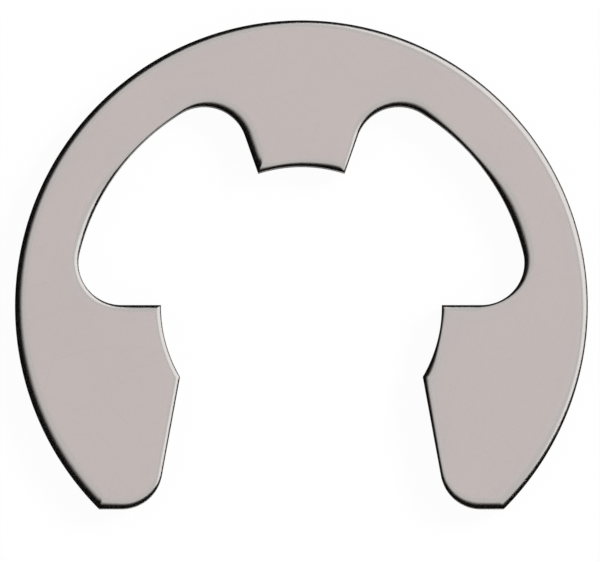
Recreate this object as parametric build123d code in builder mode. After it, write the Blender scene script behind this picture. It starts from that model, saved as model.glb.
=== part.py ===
from build123d import *
import math
import os

os.makedirs("parts", exist_ok=True)

# External retaining clip with three gripping prongs, for a groove cut in a 12.7 mm (1/2 in) shaft.
# It is stamped from flat spring steel. The origin is on the shaft axis, at the height of the lower
# face. +Z is the shaft axis, and +Y runs from the open mouth to the middle prong.

# Sizes, in mm
grip_diameter = 9.957  # circle through all three gripping faces, before the clip is fitted
lobe_depth = 3.12  # from the grip circle out to the far wall of a lobe
rim_width = 2.0615  # spring section outside the lobes
thickness = 1.067
middle_grip_width = 3.08  # gripping face of the middle prong
shoulder_rise = 0.04  # upper edge of each leg, above the shaft's centre line
leg_length = 4.68  # from the lower end of a side grip down to the end of its leg
prong_root_radius = 1.53  # lobe corner beside the middle prong
leg_root_radius = 1.52  # lobe corner above a leg
toe_radius = 1.45  # lead-in that guides the shaft into the mouth
die_roll_radius = 0.19  # rounded edge on the side where the punch went in
edge_break_radius = 0.06  # tumbled edge on the other side

# Angles, in degrees
side_grip_angle = 30.2  # how far a side grip reaches below the shaft's centre line
prong_flank_angle = 19.3  # lean of the middle prong's flanks, from the centre line
mouth_flare_angle = 10.4  # lean of the legs' inner edges, from the centre line

# Values worked out from the sizes
grip_radius = grip_diameter / 2
lobe_radius = grip_radius + lobe_depth
rim_radius = lobe_radius + rim_width
sheet_reach = 2 * rim_radius  # sides of the sheet that each opening is cut in, well clear of the rim
flank_slope = math.tan(math.radians(prong_flank_angle))
flare_slope = math.tan(math.radians(mouth_flare_angle))

# The flank passes through the corner of the middle grip and is followed down to the shoulder line.
grip_corner_x = middle_grip_width / 2
grip_corner_y = math.sqrt(grip_radius**2 - grip_corner_x**2)
flank_foot_x = grip_corner_x - (grip_corner_y - shoulder_rise) * flank_slope
flank_top_x = grip_corner_x + (sheet_reach - grip_corner_y) * flank_slope

# The leg's inner edge passes through the lower end of the side grip. It is followed up to the
# shaft's centre line and down to the end of the leg.
tip_x = grip_radius * math.cos(math.radians(side_grip_angle))
tip_y = -grip_radius * math.sin(math.radians(side_grip_angle))
mouth_top_x = tip_x + tip_y * flare_slope
leg_end_x = tip_x + leg_length * flare_slope
leg_end_y = tip_y - leg_length


def round_both_sides(plate, is_cut_edge):
    """Round the chosen edges: the upper ones as die roll, the lower ones as a tumbled break."""
    fillet(plate.faces().sort_by(Axis.Z)[-1].edges().filter_by(is_cut_edge), die_roll_radius)
    fillet(plate.faces().sort_by(Axis.Z)[0].edges().filter_by(is_cut_edge), edge_break_radius)


def is_inside_sheet(edge):
    return max(abs(edge.center().X), abs(edge.center().Y)) < 0.9 * sheet_reach


# Each stretch of the outline is cut in a sheet of its own and rounded there. The clip is what the
# sheets share, so at its sharp corners the rounded edges meet in a clean mitre.

with BuildPart() as rim_disc:
    with BuildSketch():
        Circle(rim_radius)
    extrude(amount=thickness)
    round_both_sides(rim_disc, is_inside_sheet)

with BuildPart() as shaft_sheet:
    with BuildSketch():
        Rectangle(2 * sheet_reach, 2 * sheet_reach)
        Circle(grip_radius, mode=Mode.SUBTRACT)
    extrude(amount=thickness)
    round_both_sides(shaft_sheet, is_inside_sheet)

# A lobe lies between the prong's flank, the shoulder line and the lobe circle.
with BuildPart() as lobe_sheet:
    with BuildSketch(mode=Mode.PRIVATE) as lobe:
        with BuildLine():
            Polyline(
                (flank_foot_x, shoulder_rise),
                (flank_top_x, sheet_reach),
                (sheet_reach, sheet_reach),
                (sheet_reach, shoulder_rise),
                close=True,
            )
        make_face()
        Circle(lobe_radius, mode=Mode.INTERSECT)
        fillet(lobe.vertices().sort_by(Axis.Y)[-1], prong_root_radius)
        fillet(lobe.vertices().sort_by(Axis.X)[-1], leg_root_radius)
    with BuildSketch():
        Rectangle(2 * sheet_reach, 2 * sheet_reach)
        add(lobe.sketch, mode=Mode.SUBTRACT)
    extrude(amount=thickness)
    round_both_sides(lobe_sheet, is_inside_sheet)

# The mouth opens downwards between two flared edges, and both legs end on one straight line.
with BuildPart() as mouth_sheet:
    with BuildSketch() as mouth_outline:
        with Locations((0, leg_end_y)):
            Rectangle(2 * sheet_reach, 2 * sheet_reach, align=(Align.CENTER, Align.MIN))
        with BuildLine():
            Polyline(
                (mouth_top_x, 0),
                (leg_end_x, leg_end_y),
                (-leg_end_x, leg_end_y),
                (-mouth_top_x, 0),
                close=True,
            )
        make_face(mode=Mode.SUBTRACT)
        leg_end_corners = mouth_outline.vertices().group_by(Axis.Y)[0].sort_by(Axis.X)
        fillet(leg_end_corners[1:-1], toe_radius)
    extrude(amount=thickness)
    round_both_sides(mouth_sheet, lambda edge: is_inside_sheet(edge) and edge.center().Y < tip_y / 2)

with BuildPart() as e_clip:
    add(rim_disc.part)
    add(shaft_sheet.part, mode=Mode.INTERSECT)
    add(lobe_sheet.part, mode=Mode.INTERSECT)
    add(lobe_sheet.part.mirror(Plane.YZ), mode=Mode.INTERSECT)
    add(mouth_sheet.part, mode=Mode.INTERSECT)

e_clip.part.label = "e_clip"
export_step(e_clip.part, "parts/e_clip.step")
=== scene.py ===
import math

import bmesh
import bpy
import numpy as np
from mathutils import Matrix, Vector


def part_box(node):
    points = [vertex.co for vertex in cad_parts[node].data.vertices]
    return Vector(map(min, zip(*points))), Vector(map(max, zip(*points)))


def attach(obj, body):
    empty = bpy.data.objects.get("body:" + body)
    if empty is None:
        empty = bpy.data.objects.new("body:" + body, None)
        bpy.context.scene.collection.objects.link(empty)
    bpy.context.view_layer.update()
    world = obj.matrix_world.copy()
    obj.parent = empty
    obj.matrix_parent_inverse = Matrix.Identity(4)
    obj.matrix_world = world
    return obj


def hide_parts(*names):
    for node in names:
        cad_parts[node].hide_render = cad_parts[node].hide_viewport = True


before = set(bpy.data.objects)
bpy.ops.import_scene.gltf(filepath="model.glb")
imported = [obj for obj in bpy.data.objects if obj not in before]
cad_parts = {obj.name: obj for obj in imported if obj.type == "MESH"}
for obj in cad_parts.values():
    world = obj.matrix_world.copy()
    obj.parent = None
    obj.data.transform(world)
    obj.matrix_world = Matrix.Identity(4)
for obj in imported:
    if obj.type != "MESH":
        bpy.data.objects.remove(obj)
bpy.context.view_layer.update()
clipLow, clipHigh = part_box("e_clip")
mm = 0.001  # the frame is in metres, and the sizes below are in millimetres
print("frame loaded, clip", [round(side / mm, 3) for side in clipHigh - clipLow], "mm")


# View from almost straight above with a long lens, set so that the clip fills the picture.

cameraView = {
    "frameWidth": 21.273,  # mm of the object across the picture
    "aimX": -0.05,  # mm from the shaft axis, along X
    "aimY": 0.907,
    "tilt": 3.0,  # degrees from straight down, towards the open mouth
    "lens": 1200,  # mm, as the next
    "sensorWidth": 36,
    "clipRange": (0.1, 10),  # nearest and farthest that it shows, as shares of its distance
}

cameraData = bpy.data.cameras.new("clipCamera")
cameraData.lens = cameraView["lens"]
cameraData.sensor_width = cameraView["sensorWidth"]
camera = bpy.data.objects.new("clipCamera", cameraData)
bpy.context.scene.collection.objects.link(camera)
cameraDistance = cameraView["frameWidth"] * mm * cameraView["lens"] / cameraView["sensorWidth"]
aimPoint = Vector((cameraView["aimX"] * mm, cameraView["aimY"] * mm, clipHigh.z))
cameraTilt = math.radians(cameraView["tilt"])
camera.location = aimPoint + cameraDistance * Vector((0, -math.sin(cameraTilt), math.cos(cameraTilt)))
camera.rotation_euler = (cameraTilt, 0, 0)
cameraData.clip_start = cameraDistance * cameraView["clipRange"][0]
cameraData.clip_end = cameraDistance * cameraView["clipRange"][1]
bpy.context.scene.camera = camera
print("camera placed", round(cameraDistance, 3), "m above the clip")


# The clip. One half is worked out at a time, and the two are welded on the centre line.

clip = {
    "gripRadius": 4.9785,  # circle through the three gripping faces
    "rimWidth": 2.0615,
    "middleGripWidth": 3.08,
    "shoulderRise": 0.04,
    "prongRootRadius": 1.53,
    "legRootRadius": 1.52,
    "toeRadius": 1.45,
    "sideGripAngle": 30.2,  # degrees, as the next two
    "prongFlankAngle": 19.3,
    "mouthFlareAngle": 10.4,
    "rollWidth": 0.29,  # rounded upper edge: how far it reaches in over the face
    "rollAngle": 40,  # degrees, its slope where it meets the wall
    "rollUneven": 0.3,  # how much its size differs from one side to the other
    "rollTurn": 27,  # degrees, the direction in which it is smallest
    "breakRadius": 0.06,  # tumbled lower edge
    "burnishShare": 0.42,  # part of the wall that the punch shaved smooth
    "burnishWander": 0.04,  # how far the lower limit of that band strays
    "fractureTaper": 0.010,  # how far the torn wall below it leans in
    "fractureRough": 0.016,  # depth of the unevenness there
    "ringReach": 0.8,  # width of the fine rings round each flat face
    "upperRings": (0.72, 0.64, 0.56),  # how far in the rings between lie, on the upper face
    "lowerRings": (0.14, 0.25, 0.45),  # and on the lower one
    "rollSteps": 12,
    "breakSteps": 6,
    "shavedRows": (0.3, 0.6, 0.85, 1),  # shares of the way down the shaved band
    "tornRows": (0.12, 0.94, 9),  # first and last share of the way down the torn band, and how many
    "tornStep": 0.4,  # part of the taper that is a step at the upper limit of that band
    "tornFade": 8,  # how steeply the unevenness sets in at both its limits
    "wanderWaves": (23, 41, 67, 101, 149, 211),  # waves in a turn round the outline
    "wanderSeed": 5,
    "roughWaves": (61, 97, 139, 197, 257, 331),
    "roughSeed": 9,
    "roughShift": 0.13,  # radians by which these shift, times the row's number to the next power
    "roughPower": 1.5,
    "waveWeights": (0.4, 1),  # least and greatest share of one wave in all these
    "sizeSoftening": 9,  # points to each side over which the roll's size is averaged
    "centreReach": 1e-9,  # mm from the centre line within which a point is put on it
    "weldReach": 1e-4,  # mm
    "sharpAngle": 34,  # degrees from which an edge looks sharp
}

thickness = (clipHigh.z - clipLow.z) / mm
rimRadius = (clipHigh.x - clipLow.x) / 2 / mm
legEndY = clipLow.y / mm
gripRadius = clip["gripRadius"]
lobeRadius = rimRadius - clip["rimWidth"]
rootRadius = clip["prongRootRadius"]
legRootRadius = clip["legRootRadius"]
toeRadius = clip["toeRadius"]
axis = np.zeros(2)
quarter = math.pi / 2


def angleOf(point):
    # direction of a point as seen from the shaft axis
    return np.arctan2(point[..., 1], point[..., 0])


def onCircle(start, direction, radius):
    # start + reach * direction, with the reach at which that line crosses the circle about the axis
    along = start @ direction
    reach = -along + np.sqrt(along**2 - (start**2).sum(axis=-1) + radius**2)
    return start + reach[..., None] * direction


def arcRun(centre, radius, startAngle, endAngle, share):
    # centre + radius * (cosine, sine) of an angle that goes evenly from start to end
    angle = startAngle + (endAngle - startAngle) * share
    return centre + (radius + 0 * angle)[..., None] * np.stack([np.cos(angle), np.sin(angle)], axis=-1)


def lineRun(start, end, share):
    # start + share * (end - start)
    return start + (end - start) * share[..., None]


flankAngle = math.radians(clip["prongFlankAngle"])
flareAngle = math.radians(clip["mouthFlareAngle"])
flankAlong = np.array([math.sin(flankAngle), math.cos(flankAngle)])  # up the prong's right flank
flankOut = np.array([math.cos(flankAngle), -math.sin(flankAngle)])
flareAlong = np.array([math.sin(flareAngle), -math.cos(flareAngle)])  # down the right leg
flareOut = np.array([-math.cos(flareAngle), -math.sin(flareAngle)])

cornerX = clip["middleGripWidth"] / 2
gripCorner = np.array([cornerX, math.sqrt(gripRadius**2 - cornerX**2)])
rootCentre = onCircle(gripCorner + rootRadius * flankOut, flankAlong, lobeRadius - rootRadius)
legRootY = clip["shoulderRise"] + legRootRadius
legRootCentre = np.array([math.sqrt((lobeRadius - legRootRadius) ** 2 - legRootY**2), legRootY])
tipAngle = -math.radians(clip["sideGripAngle"])
tip = gripRadius * np.array([math.cos(tipAngle), math.sin(tipAngle)])
toeReach = (legEndY + toeRadius * (1 + flareOut[1]) - tip[1]) / flareAlong[1]
toeCentre = tip + toeReach * flareAlong - toeRadius * flareOut
lobeStart = float(angleOf(rootCentre))
lobeEnd = float(angleOf(legRootCentre))


# The sharp corners for an inset d: where the two edges beside them cross once both have shifted.

def gripCornerAt(d):
    # the flank's line, shifted by d, meets the grip circle, larger by d
    return onCircle(gripCorner - d[..., None] * flankOut, flankAlong, gripRadius + d)


def tipAt(d):
    # the flared edge's line, shifted by d, meets the same circle
    return onCircle(tip - d[..., None] * flareOut, flareAlong, gripRadius + d)


def shoulderCornerAt(d):
    # the shoulder's level, lower by d, meets the same circle
    y = clip["shoulderRise"] - d
    return np.stack([np.sqrt((gripRadius + d) ** 2 - y**2), y], axis=-1)


def heelAt(d):
    # the foot's level, higher by d, meets the rim, smaller by d
    y = legEndY + d
    return np.stack([np.sqrt((rimRadius - d) ** 2 - y**2), y], axis=-1)


# The runs of the right half, from the middle grip to the toe and along the foot: points for an
# inset d at shares of the way. Straight edges shift by the inset, and arcs keep their centres and
# grow or shrink by it.

def middleGripRun(d, share):
    # arc about the axis, from the centre line to the prong's corner
    return arcRun(axis, gripRadius + d, quarter, angleOf(gripCornerAt(d)), share)


def flankRun(d, share):
    # straight from that corner to where the next arc touches the flank
    return lineRun(gripCornerAt(d), rootCentre - (rootRadius + d[..., None]) * flankOut, share)


def rootRun(d, share):
    # arc in the corner beside the prong
    return arcRun(rootCentre, rootRadius + d, math.pi - flankAngle, lobeStart, share)


def lobeRun(d, share):
    # arc about the axis, the lobe's outer wall
    return arcRun(axis, lobeRadius + d, lobeStart, lobeEnd, share)


def legRootRun(d, share):
    # arc in the corner above the leg
    return arcRun(legRootCentre, legRootRadius + d, lobeEnd, -quarter, share)


def shoulderRun(d, share):
    # straight and level to the shoulder's corner
    start = np.stack([legRootCentre[0] + 0 * d, clip["shoulderRise"] - d], axis=-1)
    return lineRun(start, shoulderCornerAt(d), share)


def sideGripRun(d, share):
    # arc about the axis, from the shoulder's corner to the tip
    return arcRun(axis, gripRadius + d, angleOf(shoulderCornerAt(d)), angleOf(tipAt(d)), share)


def flareRun(d, share):
    # straight down the leg to where the next arc touches it
    return lineRun(tipAt(d), toeCentre + (toeRadius - d[..., None]) * flareOut, share)


def toeRun(d, share):
    # arc round the toe
    return arcRun(toeCentre, toeRadius - d, flareAngle - math.pi, -quarter, share)


def footRun(d, share):
    # straight and level along the foot to the heel
    return lineRun(np.stack([toeCentre[0] + 0 * d, legEndY + d], axis=-1), heelAt(d), share)


# Each run with its steps and the direction on the rim that lies opposite its end, in degrees round
# the axis. The foot and the rim close the half.
innerRuns = [
    (20, 81, middleGripRun),
    (32, 77, flankRun),
    (40, 60, rootRun),
    (92, 14, lobeRun),
    (36, -7, legRootRun),
    (30, -13, shoulderRun),
    (34, -25, sideGripRun),
    (44, -41, flareRun),
    (32, -45, toeRun),
]
footSteps = 14  # along the foot, and across each flat face
innerSteps = sum(run[0] for run in innerRuns)
opposite = np.interp(
    np.arange(innerSteps + 1),
    np.cumsum([0] + [run[0] for run in innerRuns]),
    [90] + [run[1] for run in innerRuns],
)
rimShare = ((opposite - opposite[-1]) / (opposite[0] - opposite[-1]))[::-1]
columns = 2 * innerSteps + footSteps + 1
runSteps = [run[0] for run in innerRuns] + [footSteps, innerSteps]

# How wide the roll is along each run, as shares of its plain width at even steps: on the right
# half, then on the left. Both halves have the same first and last share of all, on the centre line.
rollShares = [
    ([0.75, 0.85, 1.05], [0.75, 0.6]),  # middle grip
    ([0.8, 0.75, 0.95], [1.2]),  # flank
    ([1.05, 0.9, 1.0], [1.2, 1.1, 0.9, 0.35]),  # corner beside the prong
    ([0.95, 0.65, 0.5, 0.55, 0.9, 1.2, 1.15, 1.1], [0.3, 0.3, 0.35, 0.5, 1.0, 1.3, 1.3, 1.2]),  # lobe
    ([1.0, 0.85, 0.4, 0.5], [1.1, 0.9, 1.1, 0.7]),  # corner above the leg
    ([0.95, 0.9], [1.05]),  # shoulder
    ([0.55, 0.35, 0.6, 1.3], [1.1, 1.0, 1.1]),  # side grip
    ([0.65, 0.4], [0.95]),  # flared edge
    ([0.5, 0.8, 1.2], [0.9, 1.1, 0.95]),  # toe
    ([1.15], [1.05]),  # foot
    ([1.4, 1.4, 1.1, 1.25, 1.35, 1.25, 1.0], [1.3, 1.25, 1.2, 1.05, 1.0, 1.0, 1.0]),  # rim
]


def rollAlong(side):
    # straight lines between the shares of each run, one value for each point of the outline
    half = 0 if side > 0 else 1
    pieces = []
    for steps, shares in zip(runSteps, rollShares):
        values = shares[half]
        pieces.append(np.interp(np.arange(steps) / steps, np.linspace(0, 1, len(values)), values))
    return np.append(np.concatenate(pieces), rollShares[-1][half][-1])


def halfOutline(inset):
    # inset has one row per profile step and one column per point of the outline
    pieces = []
    first = 0
    for steps, *_, run in innerRuns + [(footSteps, footRun)]:
        pieces.append(run(inset[:, first : first + steps], np.arange(steps) / steps))
        first += steps
    # last the rim, an arc about the axis from the heel to the centre line
    d = inset[:, first:]
    pieces.append(arcRun(axis, rimRadius - d, angleOf(heelAt(d)), quarter, rimShare))
    return np.concatenate(pieces, axis=1)


def softened(values, reach):
    # moving average over reach points to each side, the nearer ones counting more; it leaves the
    # two end values as they are
    weights = np.hanning(2 * reach + 3)[1:-1]
    padded = np.pad(values, reach, mode="reflect", reflect_type="odd")
    return np.convolve(padded, weights / weights.sum(), mode="valid")


def loopWave(turn, counts, seed):
    # sum of sines that close on themselves after a turn round the outline, between -1 and 1
    rng = np.random.default_rng(seed)
    phases = rng.uniform(0, 2 * math.pi, len(counts))
    weights = rng.uniform(*clip["waveWeights"], len(counts))
    return (np.sin(turn[..., None] * counts + phases) * weights).sum(axis=-1) / weights.sum()


def edgeProfile():
    # One row per step from the upper face over the roll, down the wall and under the break:
    # inset, height, share of the burnish line's wander, share of the torn wall's unevenness,
    # 1 where the roll's own size stretches the row, and the zone: 0 for the faces and rounded
    # edges, 1 for the shaved wall, 2 for the torn wall.
    rollAngle = math.radians(clip["rollAngle"])
    rollRadius = clip["rollWidth"] / math.sin(rollAngle)
    roll = np.linspace(0, rollAngle, clip["rollSteps"])
    turn = np.linspace(0, quarter, clip["breakSteps"])
    wallTop = thickness - rollRadius * (1 - math.cos(rollAngle))
    limit = wallTop - (wallTop - clip["breakRadius"]) * clip["burnishShare"]
    step = clip["fractureTaper"] * clip["tornStep"]
    foot = clip["fractureTaper"]
    torn = np.linspace(*clip["tornRows"])
    rows = [[inset, thickness, 0, 0, 0, 0] for inset in (clip["ringReach"], *clip["upperRings"])]
    for a in roll:
        inset = clip["rollWidth"] - rollRadius * math.sin(a)
        rows.append([inset, thickness - rollRadius * (1 - math.cos(a)), 0, 0, 1, 0])
    rows[-1][-1] = 1
    rows += [[0, wallTop + (limit - wallTop) * s, s**2, 0, 0, 1] for s in clip["shavedRows"]]
    for s in torn:
        inset = step + (foot - step) * s
        height = limit + (clip["breakRadius"] - limit) * s
        rows.append([inset, height, (1 - s) ** 2, min(1, clip["tornFade"] * s * (1 - s)), 0, 2])
    for a in turn:
        inset = foot + clip["breakRadius"] * (1 - math.cos(a))
        rows.append([inset, clip["breakRadius"] * (1 - math.sin(a)), 0, 0, 0, 0])
    rows += [[inset, 0, 0, 0, 0, 0] for inset in (*clip["lowerRings"], clip["ringReach"])]
    return np.array(rows)


def gridQuads(rows, columns, first):
    # the corner numbers of every cell in a grid of points, row by row
    corner = (np.arange(rows - 1)[:, None] * columns + np.arange(columns - 1)).ravel() + first
    return np.stack([corner, corner + columns, corner + columns + 1, corner + 1], axis=1)


def halfClip(side):
    # The edge profile carried along the outline, and on each flat face straight lines from the
    # inner edge across to the rim. In the roll's rows, the inset and the drop from the upper face
    # are times its size there: share * (1 - rollUneven * cosine of the angle from rollTurn to the
    # outward direction), softened. A wave moves the lower limit of the shaved band up and down, and
    # another adds to the inset of the torn rows. side is 1 for the right half and -1 for the left.
    profile = edgeProfile()
    share = np.arange(columns) / (columns - 1)
    turn = math.pi * share if side > 0 else 2 * math.pi - math.pi * share
    wander = clip["burnishWander"] * loopWave(turn, np.array(clip["wanderWaves"]), clip["wanderSeed"])
    height = profile[:, 1, None] + profile[:, 2, None] * wander
    edge = halfOutline(np.zeros((1, columns)))[0]
    along = np.gradient(edge, axis=0)
    along[[0, -1], 1] = 0  # level at the centre line, so that both halves meet there
    outwards = np.arctan2(-along[:, 0], along[:, 1])
    facing = side * np.cos(outwards) * math.cos(math.radians(clip["rollTurn"]))
    facing = facing + np.sin(outwards) * math.sin(math.radians(clip["rollTurn"]))
    sizes = softened(rollAlong(side) * (1 - clip["rollUneven"] * facing), clip["sizeSoftening"])
    stretch = 1 + profile[:, 4, None] * (sizes - 1)
    height = thickness - (thickness - height) * stretch
    rowNumber = np.arange(len(profile))[:, None]
    layers = turn[None, :] + clip["roughShift"] * rowNumber ** clip["roughPower"]
    rough = loopWave(layers, np.array(clip["roughWaves"]), clip["roughSeed"])
    torn = profile[:, 3, None] * clip["fractureRough"] * (1 + rough)
    inset = profile[:, 0, None] * stretch + torn
    flat = halfOutline(inset)
    skin = np.dstack([flat, height])

    across = np.linspace(0, 1, footSteps + 1)[:, None]
    sheets = [skin]
    for ring in (skin[0], skin[-1]):
        inner = ring[: innerSteps + 1, None]
        rim = ring[innerSteps + footSteps :][::-1][:, None]
        sheets.append(inner + (rim - inner) * across)
    depths = [profile[:, 0, None] + 0 * inset]
    zones = [profile[:, 5, None] + 0 * inset]
    for sheet in sheets[1:]:
        depths.append(0 * sheet[..., 0] + clip["ringReach"])
        zones.append(0 * sheet[..., 0])

    quads = []
    first = 0
    for sheet in sheets:
        quads.append(gridQuads(sheet.shape[0], sheet.shape[1], first))
        first += sheet.shape[0] * sheet.shape[1]
    points = np.concatenate([sheet.reshape(-1, 3) for sheet in sheets])
    onCentre = np.abs(points[:, 0]) < clip["centreReach"]
    points[:, 0] = np.where(onCentre, 0, points[:, 0] * side)
    depth = np.concatenate([d.ravel() for d in depths])
    zone = np.concatenate([z.ravel() for z in zones])
    return points, np.concatenate(quads), depth, zone


def buildClip():
    # both halves in one mesh, the left one with its faces turned, welded on the centre line
    right = halfClip(1)
    left = halfClip(-1)
    points = np.concatenate([right[0], left[0]]) * mm
    points[:, 2] += clipLow.z
    quads = np.concatenate([right[1], left[1][:, ::-1] + len(right[0])])
    mesh = bpy.data.meshes.new("steelClip")
    mesh.from_pydata(points, [], quads.tolist())
    depth = mesh.attributes.new("edgeInset", "FLOAT", "POINT")  # mm in from the outline, at a plain roll
    depth.data.foreach_set("value", np.concatenate([right[2], left[2]]).astype(np.float32))
    zone = mesh.attributes.new("wallZone", "FLOAT", "POINT")  # 0 on faces and rolls, 1 shaved, 2 torn
    zone.data.foreach_set("value", np.concatenate([right[3], left[3]]).astype(np.float32))
    weld = bmesh.new()
    weld.from_mesh(mesh)
    bmesh.ops.remove_doubles(weld, verts=weld.verts, dist=clip["weldReach"] * mm)
    bmesh.ops.recalc_face_normals(weld, faces=weld.faces)
    weld.to_mesh(mesh)
    weld.free()
    mesh.shade_smooth()
    mesh.set_sharp_from_angle(angle=math.radians(clip["sharpAngle"]))
    piece = bpy.data.objects.new("steelClip", mesh)
    bpy.context.scene.collection.objects.link(piece)
    return piece


steelClip = buildClip()
print("clip built", len(steelClip.data.vertices), "points")


# Node helpers: a value that is a socket gets linked, and any other value is set on the input.

def addNode(tree, kind, inputs, **settings):
    node = tree.nodes.new(kind)
    for name, value in settings.items():
        setattr(node, name, value)
    for name, value in inputs.items():
        if isinstance(value, bpy.types.NodeSocket):
            tree.links.new(value, node.inputs[name])
        else:
            node.inputs[name].default_value = value
    return node


def mapRange(tree, value, low, high, toLow=0.0, toHigh=1.0):
    # smooth step from toLow to toHigh as value goes from low to high
    inputs = {"Value": value, "From Min": low, "From Max": high, "To Min": toLow, "To Max": toHigh}
    return addNode(tree, "ShaderNodeMapRange", inputs, interpolation_type="SMOOTHSTEP").outputs["Result"]


def calc(tree, operation, first, second):
    return addNode(tree, "ShaderNodeMath", {0: first, 1: second}, operation=operation).outputs[0]


def mixColour(tree, factor, first, second):
    # inputs 0, 6 and 7 are the factor and the two colours, and output 2 is the mixed colour
    first = first if isinstance(first, bpy.types.NodeSocket) else (*first, 1)
    second = second if isinstance(second, bpy.types.NodeSocket) else (*second, 1)
    return addNode(tree, "ShaderNodeMix", {0: factor, 6: first, 7: second}, data_type="RGBA").outputs[2]


def mixValue(tree, factor, first, second):
    # inputs 0, 2 and 3 are the factor and the two values, and output 0 is the mixed value
    return addNode(tree, "ShaderNodeMix", {0: factor, 2: first, 3: second}).outputs[0]


def scaled(tree, colour, factor):
    # the colour times the factor
    inputs = {0: colour, "Scale": factor}
    return addNode(tree, "ShaderNodeVectorMath", inputs, operation="SCALE").outputs["Vector"]


def noise(tree, where, scale, detail, roughness):
    inputs = {"Vector": where, "Scale": scale, "Detail": detail, "Roughness": roughness}
    return addNode(tree, "ShaderNodeTexNoise", inputs).outputs["Fac"]


# Spring steel. The faces have the soft grey of a tumbled blank, with fine grain, hairlines and
# faint stains near the edges. The roll has the neutral grey of polished steel, kept a little darker
# than the face as painted shade along the edges. The wall is dark grey, partly the duller steel of
# its zones and partly painted shade that darkens the outline all round: streaked along the stroke
# where the punch shaved it, and grainy where it tore.

steel = {
    "face": (0.561, 0.498, 0.486),
    "stain": (0.530, 0.499, 0.491),
    # the roll: neutral grey of polished steel, a little darker than the face as painted shade along the
    # edges
    "roll": (0.480, 0.458, 0.443),
    # the wall's two greys: duller steel, darkened further as painted shade along the outline
    "shaved": (0.30, 0.275, 0.265),
    "torn": (0.16, 0.15, 0.145),
    "faceRoughness": 0.42,
    "rollRoughness": 0.17,
    "shavedRoughness": 0.34,
    "tornRoughness": 0.62,
    "stainSize": 3.2,  # mm, as the next sizes
    "grainSize": 0.09,
    "hairlineWidth": 0.05,
    "hairlineLength": 3.5,
    "hairlineTurns": (17, 74, 133),  # degrees
    "streakWidth": 0.09,
    "tornGrain": 0.11,
    "faceMetal": 0.65,  # the tumbled face scatters part of its light like a matt one
    "faceContrast": (0.985, 1.015),  # brightness from grain to grain
    "shavedContrast": (0.8, 1.2),
    "tornContrast": (0.65, 1.4),
    "hairlineShade": 0.04,  # how much darker a hairline is
    "grainRoughness": 0.03,  # how far roughness goes up and down with the grain
    "stainRoughness": 0.04,  # and how much a stain adds
    "grainHeight": 1.2,  # thousandths of a millimetre, as the next three
    "hairlineDepth": 0.6,
    "streakHeight": 3.0,
    "tornHeight": 14.0,
    "rollStart": (0.34, 0.24),  # mm in from the outline between which the face turns into the roll
    "wallStart": (0.5, 0.95),  # the same for the wall, by its zone
    "tornStart": (1.1, 1.7),
    "stainPatches": (0.42, 0.62),  # from which noise to which a stain comes up
    "stainEdge": (0.8, 0.3, 0.1, 0.4),  # its strength goes from 0.1 at 0.8 mm in to 0.4 at 0.3 mm in
    "hairlineCut": (0.66, 0.76),  # from which noise to which a hairline comes up
    "noiseSpan": (0.3, 0.7),  # the part of every other noise that counts
    "streakStretch": 0.05,  # how slowly the streaks change down the wall
    "stainNoise": (2.0, 0.5),  # detail and roughness of each noise
    "grainNoise": (3.0, 0.6),
    "hairlineNoise": (1.0, 0.5),
    "streakNoise": (3.0, 0.65),
    "tornNoise": (5.0, 0.7),
}


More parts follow.
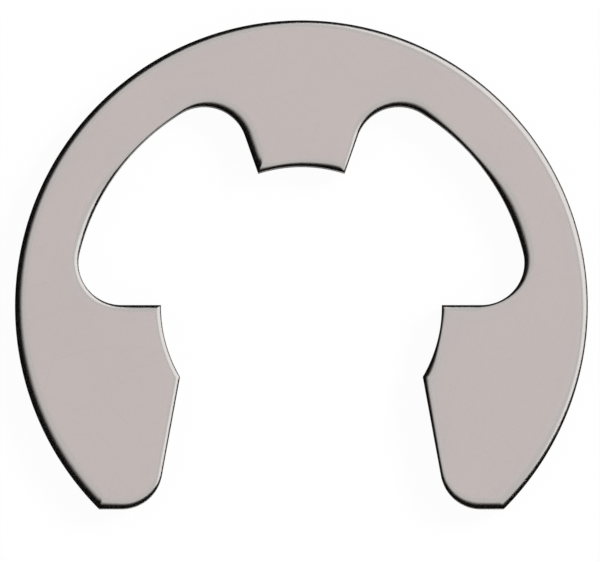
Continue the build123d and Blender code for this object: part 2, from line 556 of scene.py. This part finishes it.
def steelMaterial():
    material = bpy.data.materials.new("tumbledSpringSteel")
    material.use_nodes = True
    tree = material.node_tree
    tree.nodes.clear()
    where = addNode(tree, "ShaderNodeTexCoord", {}).outputs["Object"]
    inset = addNode(tree, "ShaderNodeAttribute", {}, attribute_name="edgeInset").outputs["Fac"]
    zone = addNode(tree, "ShaderNodeAttribute", {}, attribute_name="wallZone").outputs["Fac"]
    tornMask = mapRange(tree, zone, *steel["tornStart"])
    wallMask = mapRange(tree, zone, *steel["wallStart"])
    rollMask = mapRange(tree, inset, *steel["rollStart"])

    patches = noise(tree, where, 1 / (steel["stainSize"] * mm), *steel["stainNoise"])
    patches = mapRange(tree, patches, *steel["stainPatches"])
    stain = calc(tree, "MULTIPLY", patches, mapRange(tree, inset, *steel["stainEdge"]))
    grain = noise(tree, where, 1 / (steel["grainSize"] * mm), *steel["grainNoise"])
    hairlines = 0.0
    for turn in steel["hairlineTurns"]:
        size = (steel["hairlineLength"] * mm, steel["hairlineWidth"] * mm, mm)
        mapping = {"Vector": where, "Rotation": (0, 0, math.radians(turn)), "Scale": size}
        stretched = addNode(tree, "ShaderNodeMapping", mapping, vector_type="TEXTURE").outputs["Vector"]
        line = noise(tree, stretched, 1.0, *steel["hairlineNoise"])
        line = mapRange(tree, line, *steel["hairlineCut"])
        hairlines = line if hairlines == 0.0 else calc(tree, "MAXIMUM", hairlines, line)
    upright = {"Vector": where, "Scale": (1, 1, steel["streakStretch"])}
    upright = addNode(tree, "ShaderNodeMapping", upright).outputs["Vector"]
    streak = noise(tree, upright, 1 / (steel["streakWidth"] * mm), *steel["streakNoise"])
    tearing = noise(tree, where, 1 / (steel["tornGrain"] * mm), *steel["tornNoise"])

    bright = mapRange(tree, grain, *steel["noiseSpan"], *steel["faceContrast"])
    bright = calc(tree, "SUBTRACT", bright, calc(tree, "MULTIPLY", hairlines, steel["hairlineShade"]))
    face = scaled(tree, mixColour(tree, stain, steel["face"], steel["stain"]), bright)
    shavedShade = mapRange(tree, streak, *steel["noiseSpan"], *steel["shavedContrast"])
    tornShade = mapRange(tree, tearing, *steel["noiseSpan"], *steel["tornContrast"])
    # the wall's colour, its darkness partly painted shade along the outline, times its streaks and grain
    wall = mixColour(tree, tornMask, steel["shaved"], steel["torn"])
    wall = scaled(tree, wall, mixValue(tree, tornMask, shavedShade, tornShade))
    # the face, then the roll with its painted shade, then the wall with its painted shade
    colour = mixColour(tree, wallMask, mixColour(tree, rollMask, face, steel["roll"]), wall)

    unevenness = (-steel["grainRoughness"], steel["grainRoughness"])
    grainRough = mapRange(tree, grain, *steel["noiseSpan"], *unevenness)
    faceRough = calc(tree, "ADD", grainRough, steel["faceRoughness"])
    faceRough = calc(tree, "ADD", faceRough, calc(tree, "MULTIPLY", stain, steel["stainRoughness"]))
    rollRough = calc(tree, "ADD", grainRough, steel["rollRoughness"])
    wallRough = mapRange(tree, tornMask, 0, 1, steel["shavedRoughness"], steel["tornRoughness"])
    rough = mixValue(tree, wallMask, mixValue(tree, rollMask, faceRough, rollRough), wallRough)

    metal = mapRange(tree, rollMask, 0, 1, steel["faceMetal"], 1.0)

    hairlineDepth = calc(tree, "MULTIPLY", hairlines, steel["hairlineDepth"])
    faceHeight = calc(tree, "MULTIPLY", grain, steel["grainHeight"])
    faceHeight = calc(tree, "SUBTRACT", faceHeight, hairlineDepth)
    shavedHeight = calc(tree, "MULTIPLY", streak, steel["streakHeight"])
    tornHeight = calc(tree, "MULTIPLY", tearing, steel["tornHeight"])
    wallHeight = mixValue(tree, tornMask, shavedHeight, tornHeight)
    height = mixValue(tree, wallMask, faceHeight, wallHeight)
    bump = addNode(tree, "ShaderNodeBump", {"Height": height, "Strength": 1.0, "Distance": 0.001 * mm})

    shader = addNode(tree, "ShaderNodeBsdfPrincipled", {
        "Base Color": colour,
        "Metallic": metal,
        "Roughness": rough,
        "Normal": bump.outputs["Normal"],
    })
    addNode(tree, "ShaderNodeOutputMaterial", {"Surface": shader.outputs["BSDF"]})
    return material


steelClip.data.materials.append(steelMaterial())
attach(steelClip, "root")
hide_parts("e_clip")
print("steel finish done")


# The studio: a pale floor under the clip, an even white room, a soft lamp at the right, a small
# one below it for a firmer shadow, and a dark paper collar, cut on a slant, that only reflections
# see. The collar gives the rolled edges their dark side, as dark cards round a shiny part do.

studio = {
    "floorGap": 0.02,  # mm between the clip and the floor
    "floorReach": 1500,  # mm
    "floorColour": (0.95, 0.95, 0.95),
    "floorLift": 0.96,  # how far the floor's own shadow is lightened for the camera
    "mirrorLift": 0.22,  # and for what the steel mirrors
    "roomLight": 0.50,  # on matt surfaces, while the room itself shows white
    "lampTurn": 28,  # degrees from the right towards the top
    "lampHeight": 45,  # degrees above the floor
    "lampDistance": 1000,
    "lampSize": (2000, 680),  # across and up
    "lampGlow": 0.57,
    "sideHeight": 35,  # a second lamp, which lights matt surfaces and isn't mirrored
    "sideSize": (240, 240),
    "sideGlow": 42,
    "collarRadius": 600,
    "collarFoot": 0.42,  # its least height, as a share of the radius
    "collarLean": 0.85,  # half of what its high side has beyond that
    "collarTurn": 29,  # direction of its low side
    "collarColour": (1.0, 0.955, 0.935),
    "collarShade": (0.006, 0.82),  # its brightness low down and high up
    "collarFade": (0.85, 1.80),  # where that change starts and ends, as a share of the radius
    "collarSteps": 96,
}


def addPiece(name, points, quads, material):
    mesh = bpy.data.meshes.new(name)
    mesh.from_pydata(points, [], quads)
    mesh.materials.append(material)
    piece = bpy.data.objects.new(name, mesh)
    bpy.context.scene.collection.objects.link(piece)
    return piece


def seenRays(tree):
    # 1 for the camera's own rays and for what mirrors and glass show
    path = addNode(tree, "ShaderNodeLightPath", {}).outputs
    seen = calc(tree, "MAXIMUM", path["Is Camera Ray"], path["Is Glossy Ray"])
    return calc(tree, "MAXIMUM", seen, path["Is Transmission Ray"])


def floorMaterial():
    # pale and matt, partly white for the rays that seenRays gives, and clear from below
    material = bpy.data.materials.new("paleFloor")
    material.use_nodes = True
    tree = material.node_tree
    tree.nodes.clear()
    paint = addNode(tree, "ShaderNodeBsdfDiffuse", {"Color": (*studio["floorColour"], 1)}).outputs[0]
    white = addNode(tree, "ShaderNodeEmission", {"Strength": 1.0}).outputs[0]
    cameraRay = addNode(tree, "ShaderNodeLightPath", {}).outputs["Is Camera Ray"]
    lift = mapRange(tree, cameraRay, 0, 1, studio["mirrorLift"], studio["floorLift"])
    lift = calc(tree, "MULTIPLY", lift, seenRays(tree))
    shown = addNode(tree, "ShaderNodeMixShader", {0: lift, 1: paint, 2: white}).outputs[0]
    under = addNode(tree, "ShaderNodeNewGeometry", {}).outputs["Backfacing"]
    clear = addNode(tree, "ShaderNodeBsdfTransparent", {}).outputs[0]
    shown = addNode(tree, "ShaderNodeMixShader", {0: under, 1: shown, 2: clear}).outputs[0]
    addNode(tree, "ShaderNodeOutputMaterial", {"Surface": shown})
    return material


def collarMaterial():
    # glowing paper whose brightness goes from dark to pale with its height
    material = bpy.data.materials.new("fadedPaper")
    material.use_nodes = True
    tree = material.node_tree
    tree.nodes.clear()
    where = addNode(tree, "ShaderNodeTexCoord", {}).outputs["Object"]
    height = addNode(tree, "ShaderNodeSeparateXYZ", {"Vector": where}).outputs["Z"]
    low, high = (share * studio["collarRadius"] * mm for share in studio["collarFade"])
    glow = mapRange(tree, height, low, high, *studio["collarShade"])
    paper = {"Color": (*studio["collarColour"], 1), "Strength": glow}
    paper = addNode(tree, "ShaderNodeEmission", paper).outputs[0]
    addNode(tree, "ShaderNodeOutputMaterial", {"Surface": paper})
    return material


def buildFloor():
    # one square, level, just under the clip
    reach = studio["floorReach"] * mm
    z = clipLow.z - studio["floorGap"] * mm
    points = [(-reach, -reach, z), (reach, -reach, z), (reach, reach, z), (-reach, reach, z)]
    return addPiece("paleFloor", points, [(0, 1, 2, 3)], floorMaterial())


def buildCollar():
    # a cylinder wall, its height radius * (foot + lean * (1 - cosine of the angle from its low side))
    steps = studio["collarSteps"]
    angle = np.linspace(0, 2 * math.pi, steps, endpoint=False)
    radius = studio["collarRadius"] * mm
    slant = studio["collarLean"] * (1 - np.cos(angle - math.radians(studio["collarTurn"])))
    top = radius * (studio["collarFoot"] + slant)
    foot = np.stack([radius * np.cos(angle), radius * np.sin(angle), 0 * angle], axis=1)
    points = np.concatenate([foot, foot + top[:, None] * np.array([0, 0, 1])])
    near = np.arange(steps)
    after = (near + 1) % steps
    quads = np.stack([near, near + steps, after + steps, after], axis=1)
    collar = addPiece("darkCollar", points, quads.tolist(), collarMaterial())
    collar.visible_camera = False
    collar.visible_diffuse = False
    collar.visible_transmission = False
    collar.visible_shadow = False
    return collar


def buildLamp(name, height, size, glow):
    # a flat lamp that faces the clip, with glow as its brightness as seen from there
    data = bpy.data.lights.new(name, "AREA")
    data.shape = "RECTANGLE"
    data.size, data.size_y = (side * mm for side in size)
    data.energy = glow * math.pi * data.size * data.size_y
    lamp = bpy.data.objects.new(name, data)
    bpy.context.scene.collection.objects.link(lamp)
    turn = math.radians(studio["lampTurn"])
    lift = math.radians(height)
    towards = Vector((math.cos(turn) * math.cos(lift), math.sin(turn) * math.cos(lift), math.sin(lift)))
    lamp.location = towards * studio["lampDistance"] * mm
    lamp.rotation_mode = "QUATERNION"
    lamp.rotation_quaternion = towards.to_track_quat("Z", "Y")
    lamp.visible_camera = False
    return lamp


def buildRoom():
    # an even world: white for the rays that seenRays gives, and dimmer as light on matt surfaces
    room = bpy.data.worlds.new("whiteRoom")
    bpy.context.scene.world = room
    room.use_nodes = True
    tree = room.node_tree
    tree.nodes.clear()
    strength = mapRange(tree, seenRays(tree), 0, 1, studio["roomLight"], 1.0)
    glow = addNode(tree, "ShaderNodeBackground", {"Color": (1, 1, 1, 1), "Strength": strength})
    addNode(tree, "ShaderNodeOutputWorld", {"Surface": glow.outputs[0]})
    room.cycles.sampling_method = "NONE"  # so that reflections of the room stop at the collar


buildFloor()
buildCollar()
buildLamp("softLamp", studio["lampHeight"], studio["lampSize"], studio["lampGlow"])
sideLamp = buildLamp("sideLamp", studio["sideHeight"], studio["sideSize"], studio["sideGlow"])
sideLamp.visible_glossy = False
buildRoom()
bpy.context.scene.view_settings.view_transform = "Standard"
print("floor, lamp and room placed")
